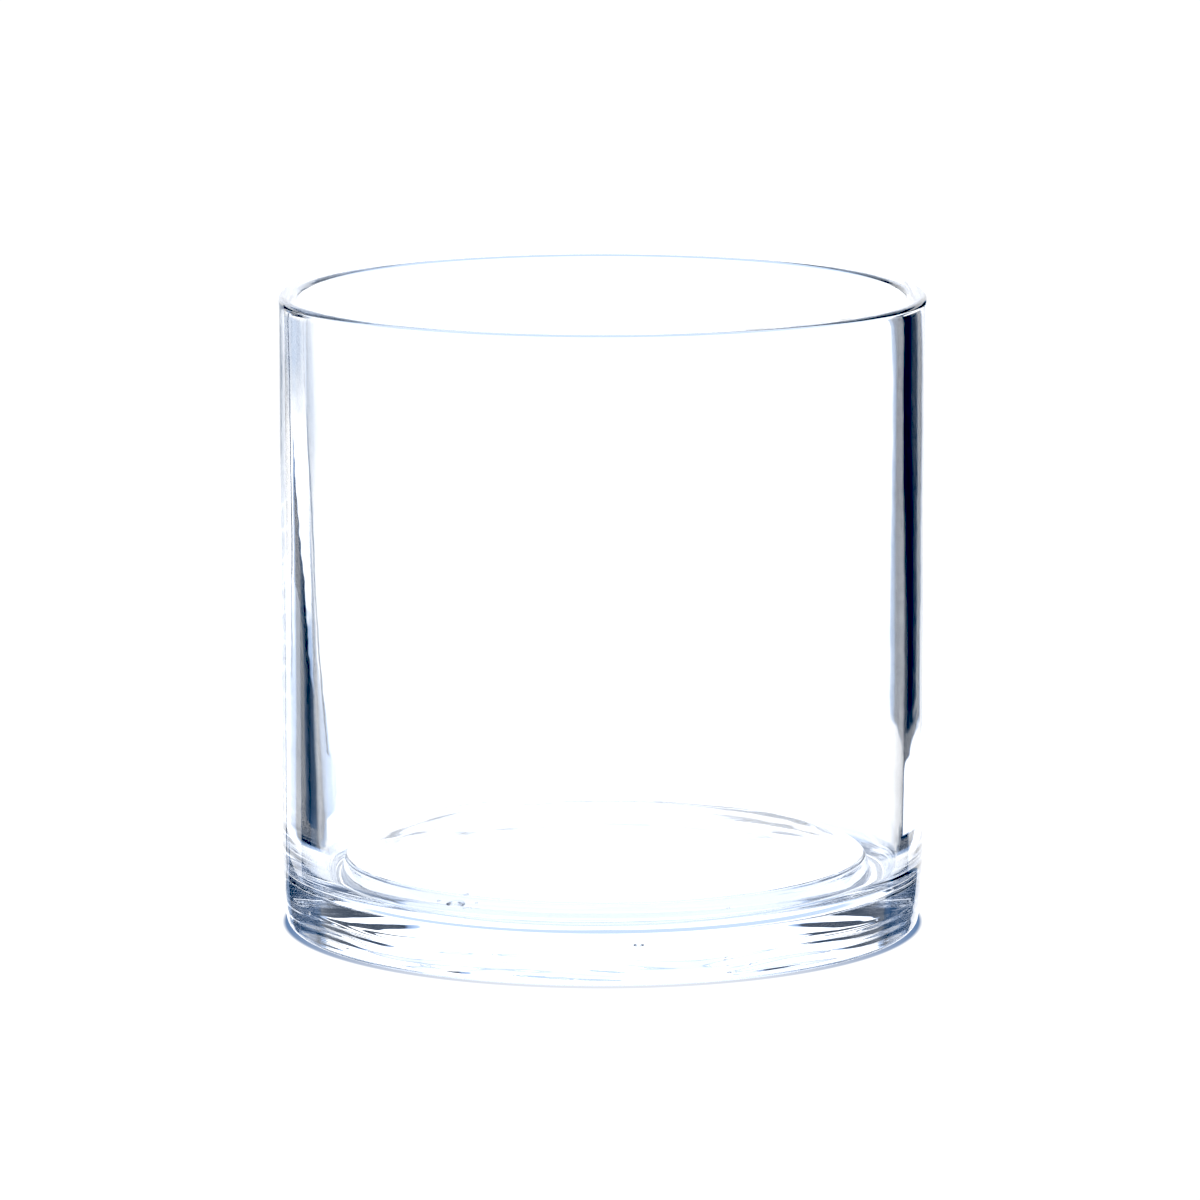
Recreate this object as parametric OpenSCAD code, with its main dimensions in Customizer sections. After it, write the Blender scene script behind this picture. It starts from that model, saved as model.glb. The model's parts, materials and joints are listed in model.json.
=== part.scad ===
// Glass cylinder vase: one thick-walled cylinder of clear glass with a heavy base.
// Inside, the floor is a raised round pad with a channel between it and the wall.
// The vase stands on the plane z = 0 with its axis on Z. All sizes are in millimetres.

/* [Body] */
// Outer diameter of the straight wall
outer_d = 127; // [100:1:200]
// Height from the table to the top of the rim
height = 125; // [60:1:300]
// Thickness of the side wall
wall_t = 4.5; // [3.5:0.1:6]
// Height of the inside floor above the table
floor_t = 14.3; // [12:0.1:20]

/* [Channel] */
// Depth of the channel round the floor, below the floor's level
channel_depth = 5; // [2:0.1:7]
// Width of the channel at the floor's level
channel_w = 7.5; // [7:0.1:12]
// How far the floor's side leans out on its way down into the channel
side_lean = 1.8; // [0.5:0.1:2]

/* [Rounding] */
// Radius of the inside corner where the wall runs into the channel
corner_r = 5; // [2:0.1:5]
// Radius of the two fire-polished edges of the rim
rim_r = 1.1; // [0.5:0.1:1.6]
// Height over which the outside draws in towards the foot
heel_h = 16; // [8:1:24]
// Radius of the long arc by which it draws in
heel_arc_r = 107; // [80:1:400]
// Radius of the edge between the heel and the underside
foot_edge_r = 1.5; // [0.8:0.1:2.5]

/* [Underside] */
// Width of the flat ring that the vase stands on
ring_w = 9; // [5:0.5:14]
// Depth of the shallow hollow inside that ring
hollow_depth = 0.8; // [0.4:0.1:2]

/* [Hidden] */
$fn = 240;

outer_r = outer_d / 2;
inner_r = outer_r - wall_t;
floor_r = inner_r - channel_w;
channel_z = floor_t - channel_depth;

// The heel's arc leaves the straight wall at heel_h without a break
heel_arc_x = outer_r - heel_arc_r;

function heel_x(z) = heel_arc_x + sqrt(pow(heel_arc_r, 2) - pow(heel_h - z, 2));

// The foot's edge is a small arc that stands on the table and crosses the heel's arc at a soft angle
foot_edge_x = heel_x(foot_edge_r) - 0.95 * foot_edge_r;

// The hollow is a shallow dome that ends at the inner edge of the ring
hollow_r = foot_edge_x - ring_w;
dome_r = (hollow_r * hollow_r + hollow_depth * hollow_depth) / (2 * hollow_depth);

// Half of the filled shape, from the axis to the outside
module outside_profile() {
    difference() {
        square([outer_r, height]);
        difference() {
            translate([foot_edge_x, -1]) square([outer_r, heel_h + 1]);
            translate([heel_arc_x, heel_h]) circle(heel_arc_r);
        }
        difference() {
            translate([foot_edge_x, -1]) square([outer_r, foot_edge_r + 1]);
            translate([foot_edge_x, foot_edge_r]) circle(foot_edge_r);
        }
    }
}

// Half of the space inside, open at the top: a plain bore less the rounded corner and the raised floor
module inside_profile() {
    difference() {
        translate([0, channel_z]) square([inner_r, height - channel_z + 1]);
        translate([inner_r, channel_z]) mirror([0, 1]) edge_cut(corner_r);
        polygon([
            [0, 0], [floor_r + side_lean, 0], [floor_r + side_lean, channel_z],
            [floor_r, floor_t], [0, floor_t],
        ]);
    }
}

// The corner that rounding takes off an edge whose two sides run towards -X and -Y
module edge_cut(radius) {
    difference() {
        translate([-radius, -radius]) square([radius + 1, radius + 1]);
        translate([-radius, -radius]) circle(radius);
    }
}

// The shallow dome cut out of the underside
module hollow_profile() {
    intersection() {
        translate([0, hollow_depth - dome_r]) circle(dome_r);
        square([hollow_r, hollow_depth]);
    }
}

// The whole vase is one piece of glass
module vase_body() {
    color([0.86, 0.93, 0.98, 0.35])
        rotate_extrude()
            difference() {
                outside_profile();
                inside_profile();
                hollow_profile();
                translate([outer_r, height]) edge_cut(rim_r);
                translate([inner_r, height]) mirror([1, 0]) edge_cut(rim_r);
            }
}

vase_body();
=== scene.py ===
"""Looks of the glass cylinder vase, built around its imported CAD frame.

The vase is one lathed piece of clear glass with the small faults that such glass has: walls that
are not quite even, seed bubbles in the base and faint waves in the floor. It stands on a white
table in a bright studio, and dark flags ahead at both sides draw the edges of the glass.
"""

import json
import math

import bpy
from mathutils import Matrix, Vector, noise


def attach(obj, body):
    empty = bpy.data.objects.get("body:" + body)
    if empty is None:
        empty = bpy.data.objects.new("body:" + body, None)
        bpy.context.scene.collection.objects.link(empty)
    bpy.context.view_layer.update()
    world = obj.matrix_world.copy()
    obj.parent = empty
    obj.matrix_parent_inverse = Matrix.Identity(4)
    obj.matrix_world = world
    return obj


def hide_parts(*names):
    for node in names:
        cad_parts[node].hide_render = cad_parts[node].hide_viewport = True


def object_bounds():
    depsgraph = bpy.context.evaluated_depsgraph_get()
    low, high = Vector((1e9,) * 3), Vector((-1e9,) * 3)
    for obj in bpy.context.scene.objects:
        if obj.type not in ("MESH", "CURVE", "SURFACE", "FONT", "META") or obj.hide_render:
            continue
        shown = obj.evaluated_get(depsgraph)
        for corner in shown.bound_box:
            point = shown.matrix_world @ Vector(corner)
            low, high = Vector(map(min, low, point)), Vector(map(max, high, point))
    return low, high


MM = 0.001
TAU = 2 * math.pi

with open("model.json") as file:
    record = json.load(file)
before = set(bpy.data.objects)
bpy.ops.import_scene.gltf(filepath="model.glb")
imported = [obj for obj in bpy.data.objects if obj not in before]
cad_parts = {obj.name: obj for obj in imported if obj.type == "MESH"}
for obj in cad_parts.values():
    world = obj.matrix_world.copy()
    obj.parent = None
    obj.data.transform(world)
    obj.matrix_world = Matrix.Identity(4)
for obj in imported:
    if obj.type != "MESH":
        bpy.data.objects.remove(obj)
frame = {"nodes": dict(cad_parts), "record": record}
cad_low, cad_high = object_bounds()

# ---------------------------------------------------------------- camera

CAMERA_AT = Vector((0, -1.45, 0.3125))
CAMERA_AIM = Vector((-0.5 * MM, 0, 64.0 * MM))
CAMERA_LENS = 224.5


def make_camera():
    """The camera of the main view."""
    data = bpy.data.cameras.new("camera")
    data.lens = CAMERA_LENS
    camera = bpy.data.objects.new("camera", data)
    bpy.context.scene.collection.objects.link(camera)
    camera.location = CAMERA_AT
    camera.rotation_mode = "QUATERNION"
    camera.rotation_quaternion = (CAMERA_AIM - CAMERA_AT).to_track_quat("-Z", "Y")
    bpy.context.scene.camera = camera


# ---------------------------------------------------------------- sizes, from the frame


def surface_height(radius, from_z, direction):
    """Height at which a line along the axis, at this radius, meets the CAD glass."""
    start = Vector((radius, 1e-5, from_z))
    _, place, _, _ = frame["nodes"]["vase_body"].ray_cast(start, Vector((0, 0, direction)))
    return place.z


mouth = next(m for m in frame["record"]["mounts"] if m["name"] == "mouth")
OUTER_R = (cad_high.x - cad_low.x) / 2
HEIGHT = cad_high.z
INNER_R = mouth["dims"]["r_mm"] * MM
WALL_TOP = mouth["pos_m"][2]
WALL_FOOT = WALL_TOP - mouth["dims"]["length_mm"] * MM
RIM_R = HEIGHT - WALL_TOP
FLOOR_Z = surface_height(1e-5, HEIGHT, -1)
HOLLOW_Z = surface_height(1e-5, -0.01, 1)

# The design's own values for what can't be read from the frame
FLOOR_R = 51.5 * MM
SIDE_LEAN = 1.8 * MM
HEEL_H = 16 * MM
HEEL_ARC_R = 107 * MM
FOOT_EDGE_R = 1.5 * MM
RING_W = 9 * MM

# The raised floor's top edge is sharp in the design and a little rounded here
FLOOR_EDGE_R = 1.0 * MM

CHANNEL_Z = surface_height(FLOOR_R + SIDE_LEAN + 0.3 * MM, HEIGHT, -1)
CORNER_R = WALL_FOOT - CHANNEL_Z

# ---------------------------------------------------------------- glass shape

SEGMENTS = 384
HOLLOW_STEPS = 30


def arc(centre_r, centre_z, radius, start, end, steps):
    """Points of an arc from one angle to another, in degrees, without the first."""
    angles = [math.radians(start + (end - start) * i / steps) for i in range(1, steps + 1)]
    return [(centre_r + radius * math.cos(a), centre_z + radius * math.sin(a)) for a in angles]


def line(start, end, steps):
    """Points of a straight line, without the first."""
    return [
        (start[0] + (end[0] - start[0]) * i / steps, start[1] + (end[1] - start[1]) * i / steps)
        for i in range(1, steps + 1)
    ]


def outside_profile():
    """The outline from under the middle of the base to the top of the outer rim edge."""
    heel_arc_x = OUTER_R - HEEL_ARC_R
    foot_r = heel_arc_x + math.sqrt((HEEL_ARC_R - FOOT_EDGE_R) ** 2 - (HEEL_H - FOOT_EDGE_R) ** 2)
    heel_end = -math.degrees(math.asin((HEEL_H - FOOT_EDGE_R) / (HEEL_ARC_R - FOOT_EDGE_R)))
    hollow_r = foot_r - RING_W
    dome_r = (hollow_r**2 + HOLLOW_Z**2) / (2 * HOLLOW_Z)
    points = []
    for i in range(1, HOLLOW_STEPS + 1):
        r = hollow_r * i / HOLLOW_STEPS
        points.append((r, HOLLOW_Z - dome_r + math.sqrt(dome_r**2 - r**2)))
    points += line((hollow_r, 0), (foot_r, 0), 6)
    points += arc(foot_r, FOOT_EDGE_R, FOOT_EDGE_R, -90, heel_end, 12)
    points += arc(heel_arc_x, HEEL_H, HEEL_ARC_R, heel_end, 0, 60)
    points += line((OUTER_R, HEEL_H), (OUTER_R, HEIGHT - RIM_R), 64)
    points += arc(OUTER_R - RIM_R, HEIGHT - RIM_R, RIM_R, 0, 90, 10)
    return points


def floor_edge():
    """The rounded top edge of the raised floor, from its leaning side to its flat top."""
    lean = math.atan2(SIDE_LEAN, FLOOR_Z - CHANNEL_Z)
    side_angle = math.degrees(lean)
    reach = FLOOR_EDGE_R * math.tan((math.pi / 2 - lean) / 2)
    centre_r = FLOOR_R - reach
    centre_z = FLOOR_Z - FLOOR_EDGE_R
    return arc(centre_r, centre_z, FLOOR_EDGE_R, side_angle, 90, 12)


def inside_profile():
    """The outline from the inner rim edge down to the middle of the floor."""
    points = line((OUTER_R - RIM_R, HEIGHT), (INNER_R + RIM_R, HEIGHT), 4)
    points += arc(INNER_R + RIM_R, HEIGHT - RIM_R, RIM_R, 90, 180, 10)
    points += line((INNER_R, WALL_TOP), (INNER_R, WALL_FOOT), 90)
    points += arc(INNER_R - CORNER_R, WALL_FOOT, CORNER_R, 0, -90, 24)
    foot = (FLOOR_R + SIDE_LEAN, CHANNEL_Z)
    edge = floor_edge()
    points += line(points[-1], foot, 2)
    points += line(foot, edge[0], 10)
    points += edge[1:]
    points += line(points[-1], (0, FLOOR_Z), 60)[:-1]
    return points


def smooth(low, high, value):
    t = min(max((value - low) / (high - low), 0), 1)
    return t * t * (3 - 2 * t)


# The wall grows thicker towards its foot on the left, and spreads a little at its foot all round
THICK_SIDE = 2.50 * MM
THICK_FROM_Z = 124.5 * MM
THICK_TO_Z = 14 * MM
THIN_TOP = 0.37 * MM
SPREAD = 1.0 * MM
SPREAD_FROM_Z = 21 * MM

# Waves pressed into the floor, the wall and the heel
FLOOR_WAVE = 0.05 * MM
WALL_WAVE = 0.05 * MM
HEEL_WAVE = 0.022 * MM
HEEL_WAVE_STEP = 2.1 * MM
HEEL_TUCK = 0.16 * MM
TUCK_FROM_Z = 7 * MM
STEP_R = 46 * MM
STEP_SHIFT = 2.5 * MM
STEP_DEPTH = 0.12 * MM


def waves(x, y, z, size, seed):
    """A smooth random value from about -1 to 1, for waves of one size."""
    return noise.noise(Vector((x / size + seed, y / size - seed, z / size)))


def wall_gain(angle, z):
    """Extra thickness of the wall at an angle round the vase and a height."""
    low = min(max((THICK_FROM_Z - z) / (THICK_FROM_Z - THICK_TO_Z), 0), 1)
    side = (THICK_SIDE * low - THIN_TOP) * math.cos((angle - math.pi) / 2) ** 2
    spread = SPREAD * max((SPREAD_FROM_Z - z) / (SPREAD_FROM_Z - CHANNEL_Z), 0) ** 2
    x, y = OUTER_R * math.cos(angle), OUTER_R * math.sin(angle)
    calm = 1 - smooth(WALL_TOP - 12 * MM, WALL_TOP, z)
    return side + spread + WALL_WAVE * calm * waves(x, y, z / 4, 14 * MM, 3)


def inner_point(r, z, angle):
    """A point of the inside surface, moved for the uneven wall and the waves in the glass."""
    channel_r = FLOOR_R + SIDE_LEAN
    share = min(max((r - channel_r) / (INNER_R - channel_r), 0), 1)
    r -= wall_gain(angle, z) * share
    x, y = r * math.cos(angle), r * math.sin(angle)
    on_floor = smooth(CHANNEL_Z, FLOOR_Z, z) * (1 - smooth(FLOOR_R - 2 * MM, FLOOR_R, r))
    z += FLOOR_WAVE * on_floor * (waves(x, y, 0, 16 * MM, 8) + 0.5 * waves(x, y, 0, 7 * MM, 21))
    from_middle = math.hypot(x - STEP_SHIFT, y)
    z += STEP_DEPTH * on_floor * smooth(STEP_R - 1.5 * MM, STEP_R + 1.5 * MM, from_middle)
    return Vector((x, y, z - STEP_DEPTH * on_floor))


def outer_point(r, z, angle):
    """A point of the outside surface, with the faint rings that the mould left in the heel."""
    x, y = r * math.cos(angle), r * math.sin(angle)
    if r > FLOOR_R:
        drift = 0.8 * waves(x, y, 0, 30 * MM, 5)
        strength = smooth(0.8 * MM, 2 * MM, z) * (1 - smooth(5.5 * MM, 8 * MM, z))
        ring = math.sin(TAU * (z / HEEL_WAVE_STEP + drift))
        r += HEEL_WAVE * strength * ring * (0.7 + waves(x, y, z, 12 * MM, 13))
        r -= HEEL_TUCK * max((TUCK_FROM_Z - z) / TUCK_FROM_Z, 0) ** 2
    return Vector((r * math.cos(angle), r * math.sin(angle), z))


def lathe():
    """The vase's surface, turned from its two outlines and closed at the axis."""
    outside = outside_profile()
    inside = inside_profile()
    points = outside + inside
    verts = [Vector((0, 0, HOLLOW_Z))]
    for i, (r, z) in enumerate(points):
        for s in range(SEGMENTS):
            angle = TAU * s / SEGMENTS
            if i < len(outside):
                verts.append(outer_point(r, z, angle))
            else:
                verts.append(inner_point(r, z, angle))
    verts.append(inner_point(0, FLOOR_Z, 0))
    faces = []
    last = len(verts) - 1
    end_ring = 1 + (len(points) - 1) * SEGMENTS
    for s in range(SEGMENTS):
        t = (s + 1) % SEGMENTS
        faces.append((0, 1 + t, 1 + s))
        faces.append((last, end_ring + s, end_ring + t))
    for ring in range(len(points) - 1):
        a = 1 + ring * SEGMENTS
        b = a + SEGMENTS
        for s in range(SEGMENTS):
            t = (s + 1) % SEGMENTS
            faces.append((a + s, a + t, b + t, b + s))
    return verts, faces


# Seed bubbles in the base, in mm: middle, then half of width, depth and height
BUBBLES = (
    ((-26.8, -41.3, 11.3), (1.8, 1.4, 0.9)),
    ((-30.0, -40.0, 11.8), (0.30, 0.3, 0.25)),
    ((-24.4, -44.0, 11.2), (0.35, 0.3, 0.20)),
    ((-23.0, -43.0, 12.0), (0.25, 0.25, 0.2)),
    ((-25.6, -45.2, 11.4), (0.22, 0.22, 0.2)),
    ((23.0, -44.2, 11.0), (0.35, 0.3, 0.3)),
    ((-52.0, -18.0, 6.0), (0.4, 0.3, 0.3)),
    ((-45.0, 12.0, 7.0), (0.5, 0.4, 0.3)),
    ((12.0, 34.0, 8.0), (0.5, 0.45, 0.35)),
    ((38.0, 22.0, 9.0), (0.4, 0.4, 0.3)),
    ((47.0, -20.0, 5.5), (0.4, 0.35, 0.3)),
    ((3.0, 48.0, 6.0), (0.45, 0.4, 0.3)),
)


def add_bubble(verts, faces, middle, half):
    """A closed bubble whose faces look inwards, away from the glass."""
    turns, levels = 28, 14
    first = len(verts)
    centre = Vector(middle) * MM
    for level in range(1, levels):
        tilt = math.pi * level / levels
        for turn in range(turns):
            angle = TAU * turn / turns
            wobble = 1 + 0.06 * math.sin(2 * angle + tilt) + 0.04 * math.sin(3 * angle)
            across = math.sin(tilt) * wobble
            offset = (half[0] * across * math.cos(angle), half[1] * across * math.sin(angle))
            verts.append(centre + Vector((offset[0], offset[1], half[2] * math.cos(tilt))) * MM)
    top = len(verts)
    verts.append(centre + Vector((0, 0, half[2] * MM)))
    verts.append(centre - Vector((0, 0, half[2] * MM)))
    for turn in range(turns):
        after = (turn + 1) % turns
        faces.append((top, first + after, first + turn))
        last_row = first + (levels - 2) * turns
        faces.append((top + 1, last_row + turn, last_row + after))
        for level in range(levels - 2):
            a = first + level * turns
            b = a + turns
            faces.append((a + turn, a + after, b + after, b + turn))


def make_vase():
    """One mesh: the lathed glass and the bubbles inside it."""
    verts, faces = lathe()
    for middle, half in BUBBLES:
        add_bubble(verts, faces, middle, half)
    mesh = bpy.data.meshes.new("vase_glass")
    mesh.from_pydata(verts, [], faces)
    mesh.validate()
    mesh.shade_smooth()
    vase = bpy.data.objects.new("vase_glass", mesh)
    bpy.context.scene.collection.objects.link(vase)
    return vase


# ---------------------------------------------------------------- glass material

GLASS_INDEX = 1.52
GLASS_TINT = (0.72, 0.83, 1.0, 1)
TINT_DENSITY = 2.5
RIPPLES_PER_METRE = 90
RIPPLE_STRENGTH = 0.02
RIPPLE_HEIGHT = 0.5 * MM
SMEARS_PER_METRE = 35
SMEARS_FROM = 0.5
SMEARS_FULL = 0.8
SMEAR_ROUGHNESS = 0.02


def glass_material():
    """Clear glass with a faint tint, shallow ripples and faint smears."""
    material = bpy.data.materials.new("clear_glass")
    material.use_nodes = True
    nodes = material.node_tree.nodes
    links = material.node_tree.links
    shader = nodes["Principled BSDF"]
    shader.inputs["Base Color"].default_value = (1, 1, 1, 1)
    shader.inputs["IOR"].default_value = GLASS_INDEX
    shader.inputs["Transmission Weight"].default_value = 1.0
    tint = nodes.new("ShaderNodeVolumeAbsorption")
    tint.inputs["Color"].default_value = GLASS_TINT
    tint.inputs["Density"].default_value = TINT_DENSITY
    links.new(tint.outputs[0], nodes["Material Output"].inputs["Volume"])

    # shallow ripples that pressing left in the surface, and faint smears of use
    place = nodes.new("ShaderNodeTexCoord")
    ripples = nodes.new("ShaderNodeTexNoise")
    ripples.inputs["Scale"].default_value = RIPPLES_PER_METRE
    ripples.inputs["Detail"].default_value = 2
    links.new(place.outputs["Object"], ripples.inputs["Vector"])
    bump = nodes.new("ShaderNodeBump")
    bump.inputs["Strength"].default_value = RIPPLE_STRENGTH
    bump.inputs["Distance"].default_value = RIPPLE_HEIGHT
    links.new(ripples.outputs[0], bump.inputs["Height"])
    links.new(bump.outputs[0], shader.inputs["Normal"])
    smears = nodes.new("ShaderNodeTexNoise")
    smears.inputs["Scale"].default_value = SMEARS_PER_METRE
    smears.inputs["Detail"].default_value = 5
    links.new(place.outputs["Object"], smears.inputs["Vector"])
    dull = nodes.new("ShaderNodeMapRange")
    dull.inputs["From Min"].default_value = SMEARS_FROM
    dull.inputs["From Max"].default_value = SMEARS_FULL
    dull.inputs["To Min"].default_value = 0
    dull.inputs["To Max"].default_value = SMEAR_ROUGHNESS
    links.new(smears.outputs[0], dull.inputs["Value"])
    links.new(dull.outputs[0], shader.inputs["Roughness"])
    return material


# ---------------------------------------------------------------- studio


class Maths:
    """Short ways to add value nodes to one node tree."""

    def __init__(self, tree):
        self.tree = tree

    def node(self, operation, *values):
        node = self.tree.nodes.new("ShaderNodeMath")
        node.operation = operation
        for socket, value in zip(node.inputs, values):
            if isinstance(value, (int, float)):
                socket.default_value = value
            else:
                self.tree.links.new(value, socket)
        return node.outputs[0]

    def step(self, value, low, high):
        """A smooth rise from 0 at low to 1 at high."""
        node = self.tree.nodes.new("ShaderNodeMapRange")
        node.interpolation_type = "SMOOTHSTEP"
        for name, entry in (("Value", value), ("From Min", low), ("From Max", high)):
            if isinstance(entry, (int, float)):
                node.inputs[name].default_value = entry
            else:
                self.tree.links.new(entry, node.inputs[name])
        return node.outputs[0]

    def line(self, value, x0, y0, x1, y1):
        """A straight line through two points."""
        slope = (y1 - y0) / (x1 - x0)
        return self.node("MULTIPLY_ADD", value, slope, y0 - slope * x0)

    def shift(self, value, amount):
        return self.node("ADD", value, amount)

    def both(self, first, second):
        return self.node("MULTIPLY", first, second)

    def band(self, value, low, high, soft):
        """1 between low and high, with soft ends outside them."""
        rise = self.step(value, self.node("SUBTRACT", low, soft), low)
        fall = self.step(value, high, self.node("ADD", high, soft))
        return self.node("MULTIPLY", rise, self.node("SUBTRACT", 1, fall))


# Directions in the studio are in degrees. Turn is the angle round the vase, 0 ahead of the camera and plus
# to its right; left is minus the turn, and side is its size. Rise is the angle above the horizon. The
# angles in the functions below were set one by one. Levels run from 0, black, to 1, white.
SOFT_WHITE = 0.86

# Where a ray's level is turned into a colour
SHADES = (
    (0.06, (0.004, 0.006, 0.012, 1)),
    (0.25, (0.16, 0.23, 0.37, 1)),
    (0.78, (0.36, 0.45, 0.60, 1)),
    (0.86, (0.60, 0.64, 0.70, 1)),
    (0.95, (1, 1, 1, 1)),
)
STUDIO_STRENGTH = 1.55


def backdrop(m, turn, rise):
    """The white things ahead of the camera: a wide middle, a floor, and panels above."""
    left = m.node("MULTIPLY", turn, -1)
    side = m.node("ABSOLUTE", turn)

    # the middle: it reaches further left where it is low, and ends short and higher on the right
    left_end = m.line(m.step(rise, -9.8, -9.3), 0, 43, 1, 26)
    middle = m.both(m.step(left, m.shift(left_end, 1), left_end), m.band(rise, -15, 4, 2))
    middle = m.both(middle, m.node("MAXIMUM", m.step(left, -2, 0), m.step(rise, -12.6, -12.2)))
    middle = m.both(middle, m.step(turn, 39, 37.5))

    # the floor of the studio, which goes all round lower down and darkens downwards
    low = m.both(m.step(side, 26, 24), m.step(rise, -10, -11))
    low = m.node("MAXIMUM", low, m.step(rise, -16.5, -19))
    low = m.both(low, m.line(m.step(rise, -15, -24), 0, 1, 1, 0.87))
    low = m.both(low, m.line(m.step(rise, -31, -36), 0, 1, 1, 0.9))

    # the panels above the horizon, wide at first, and the ceiling
    band_edge = m.line(m.step(rise, 11, 14.5), 0, 49, 1, 24)
    band = m.both(m.step(side, m.shift(band_edge, 5), band_edge), m.band(rise, 5, 21, 1))
    high = m.both(m.both(m.step(side, 44, 38), m.step(rise, 20, 21)), SOFT_WHITE)
    over = m.both(m.step(rise, 42, 48), SOFT_WHITE)

    white = 0
    for part in (middle, low, band, high, over):
        white = m.node("MAXIMUM", white, part)
    return white


def surround(m, turn, rise):
    """The bright field beside and behind the camera: up to just above the horizon, and dim above."""
    beyond = m.step(m.node("ABSOLUTE", turn), 50, 58)
    around = m.both(m.both(beyond, m.step(rise, 9, 6)), 0.9)
    above = m.both(m.both(beyond, m.band(rise, 6, 45, 3)), 0.12)
    return m.node("MAXIMUM", around, above)


def dark_things(m, turn, rise):
    """The flags that stand in front of the backdrop, and the greys beside them."""
    left = m.node("MULTIPLY", turn, -1)

    # a tall flag on the right that ends below along a slant
    foot = m.line(turn, 17, -10.65, 31, -11.0)
    flag = m.both(m.band(turn, 19.2, 40, 3.2), m.step(rise, 5, 3))
    flag = m.both(flag, m.step(rise, m.shift(foot, -0.06), m.shift(foot, 0.04)))

    # a low one on the left with a slanted top
    near = m.node("MAXIMUM", m.line(rise, -11.82, 30, -13.87, 25.5), 25)
    top = m.line(left, 30.5, -11.82, 37.3, -12.62)
    wedge = m.both(m.band(left, near, 44, 4), m.step(rise, m.shift(top, 0.06), m.shift(top, -0.06)))
    wedge = m.both(wedge, m.step(rise, -18, -16))

    # a narrow leaning stand beside it
    stand_at = m.node("MINIMUM", m.line(rise, -12.2, 23.9, -13.1, 19.7), 24)
    off_stand = m.node("ABSOLUTE", m.node("SUBTRACT", left, stand_at))
    stand = m.both(m.step(off_stand, 1.3, 0.2), m.band(rise, -13.1, -9.6, 0.05))

    # greys on the left that deepen towards the low flag
    haze = m.both(m.both(m.band(left, 26, 50, 13), m.band(rise, -14.6, -13.2, 0.7)), 0.5)
    veil = m.both(m.both(m.band(left, 20, 50, 8), m.band(rise, -10.5, -4, 1.5)), 0.17)
    return flag, wedge, stand, haze, veil


def studio_world():
    """A white studio with dark flags for rays that meet the glass, and plain white for the camera."""
    world = bpy.data.worlds.new("studio")
    world.use_nodes = True
    tree = world.node_tree
    nodes = tree.nodes
    links = tree.links
    nodes.clear()
    m = Maths(tree)
    coords = nodes.new("ShaderNodeTexCoord")
    split = nodes.new("ShaderNodeSeparateXYZ")
    links.new(coords.outputs["Generated"], split.inputs[0])
    x, y, z = split.outputs
    turn = m.node("DEGREES", m.node("ARCTAN2", x, y))
    rise = m.node("DEGREES", m.node("ARCSINE", z))

    white = m.node("MAXIMUM", backdrop(m, turn, rise), surround(m, turn, rise))
    for shade in dark_things(m, turn, rise):
        white = m.both(white, m.node("SUBTRACT", 1, shade))

    ramp = nodes.new("ShaderNodeValToRGB")
    stops = ramp.color_ramp.elements
    for stop, (position, colour) in zip(stops, (SHADES[0], SHADES[-1])):
        stop.position = position
        stop.color = colour
    for position, colour in SHADES[1:-1]:
        stops.new(position).color = colour
    links.new(white, ramp.inputs[0])

    seen = nodes.new("ShaderNodeBackground")
    seen.inputs[0].default_value = (1, 1, 1, 1)
    lit = nodes.new("ShaderNodeBackground")
    links.new(ramp.outputs[0], lit.inputs[0])
    lit.inputs[1].default_value = STUDIO_STRENGTH
    path = nodes.new("ShaderNodeLightPath")
    mix = nodes.new("ShaderNodeMixShader")
    links.new(path.outputs["Is Camera Ray"], mix.inputs[0])
    links.new(lit.outputs[0], mix.inputs[1])
    links.new(seen.outputs[0], mix.inputs[2])
    out = nodes.new("ShaderNodeOutputWorld")
    links.new(mix.outputs[0], out.inputs[0])
    bpy.context.scene.world = world


# ---------------------------------------------------------------- table

TABLE_SIZE = 6
# Painted contact shadow: a grey-blue tint in the table's emission just inside the vase's outer edge,
# fading over its width, weaker ahead than at the sides
PAINTED_SHADOW_COLOUR = (0.16, 0.24, 0.40, 1)
PAINTED_SHADOW_WIDTH = 1.0 * MM
PAINTED_SHADOW_AHEAD = 0.3
PAINTED_SHADOW_FALL = 2.5


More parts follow.
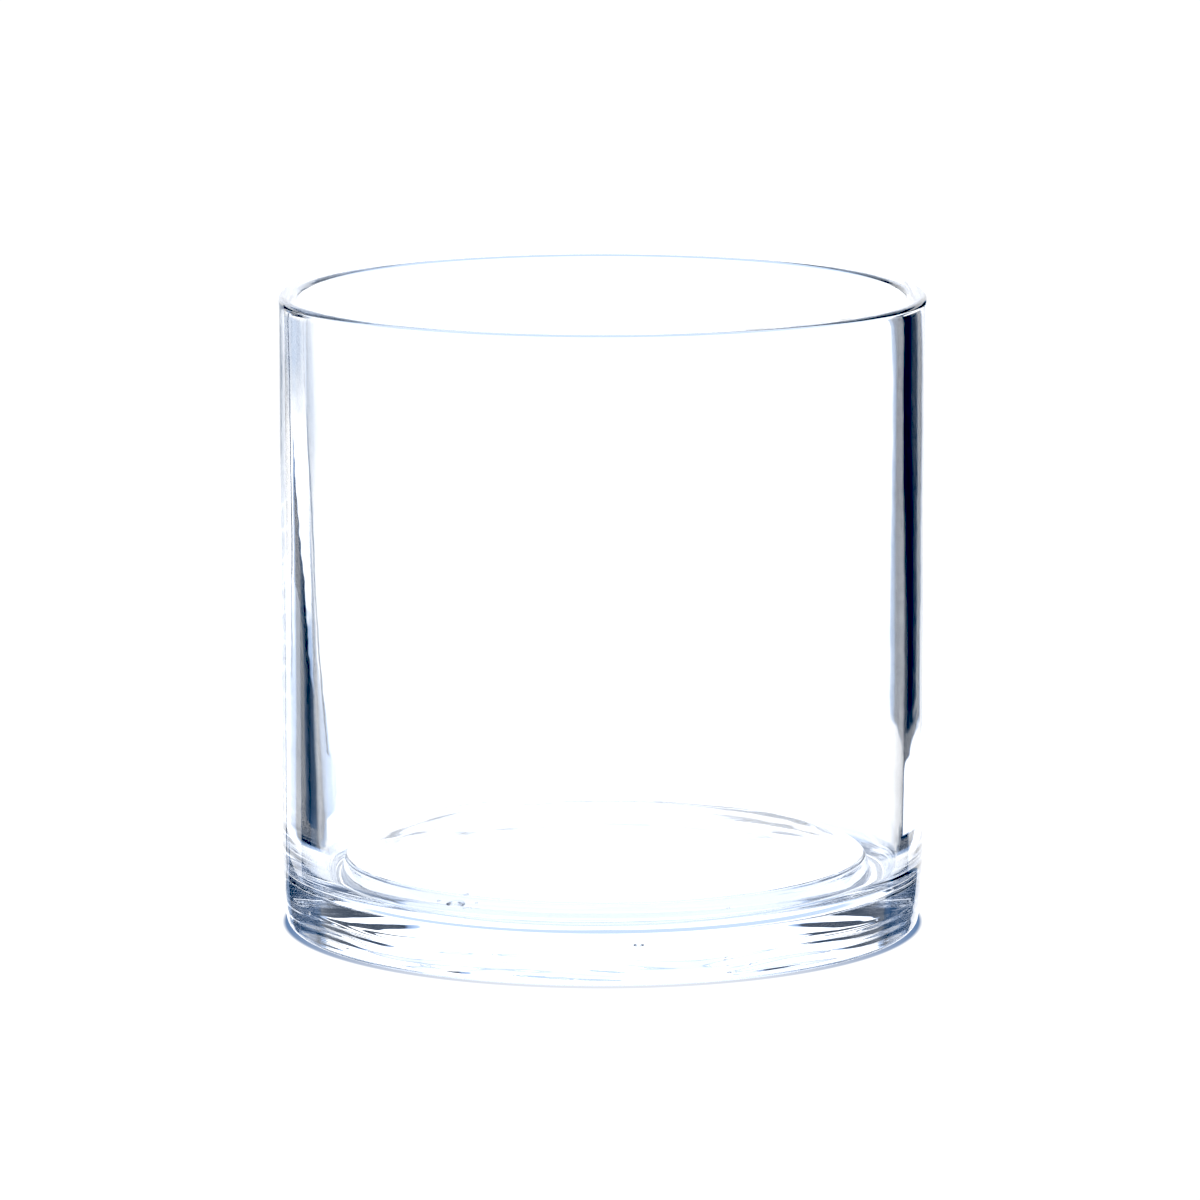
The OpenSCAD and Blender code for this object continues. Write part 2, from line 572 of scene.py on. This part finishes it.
def make_floor():
    """The white table, seen by the camera alone, with a painted contact shadow: a thin grey-blue line
    where the vase stands.
    """
    bpy.ops.mesh.primitive_plane_add(size=TABLE_SIZE)
    floor = bpy.context.object
    floor.name = "table"
    material = bpy.data.materials.new("table")
    material.use_nodes = True
    tree = material.node_tree
    nodes = tree.nodes
    links = tree.links
    nodes.clear()
    m = Maths(tree)
    place = nodes.new("ShaderNodeNewGeometry")
    split = nodes.new("ShaderNodeSeparateXYZ")
    links.new(place.outputs["Position"], split.inputs[0])
    x, y, _ = split.outputs
    away = m.node("SQRT", m.node("ADD", m.node("MULTIPLY", x, x), m.node("MULTIPLY", y, y)))
    aside = m.node("DIVIDE", m.node("ABSOLUTE", x), away)
    # painted contact shadow: the table turns grey-blue within the vase's outer radius, at full strength at
    # the sides and at 0.3 of it ahead
    shade = m.step(away, OUTER_R, OUTER_R - PAINTED_SHADOW_WIDTH)
    shade = m.both(shade, m.line(m.node("POWER", aside, PAINTED_SHADOW_FALL), 0, PAINTED_SHADOW_AHEAD, 1, 1))
    colour = nodes.new("ShaderNodeMixRGB")
    links.new(shade, colour.inputs[0])
    colour.inputs[1].default_value = (1, 1, 1, 1)
    colour.inputs[2].default_value = PAINTED_SHADOW_COLOUR
    glow = nodes.new("ShaderNodeEmission")
    links.new(colour.outputs[0], glow.inputs[0])
    out = nodes.new("ShaderNodeOutputMaterial")
    links.new(glow.outputs[0], out.inputs[0])
    floor.data.materials.append(material)
    floor.visible_diffuse = False
    floor.visible_glossy = False
    floor.visible_transmission = False
    floor.visible_shadow = False


make_camera()
vase = make_vase()
vase.data.materials.append(glass_material())
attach(vase, "root")
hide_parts("vase_body")
make_floor()
studio_world()

# Light passes through the base many times, and the darkest and palest tones are clipped a little
BOUNCES = 32
BLACK_LEVEL = (0.045, 0.034, 0.018)
WHITE_LEVEL = (0.94, 0.93, 0.91)

scene = bpy.context.scene
scene.view_settings.view_transform = "Standard"
scene.view_settings.use_curve_mapping = True
scene.view_settings.curve_mapping.black_level = BLACK_LEVEL
scene.view_settings.curve_mapping.white_level = WHITE_LEVEL
scene.view_settings.curve_mapping.update()
scene.cycles.max_bounces = BOUNCES
scene.cycles.transmission_bounces = BOUNCES
scene.cycles.glossy_bounces = BOUNCES
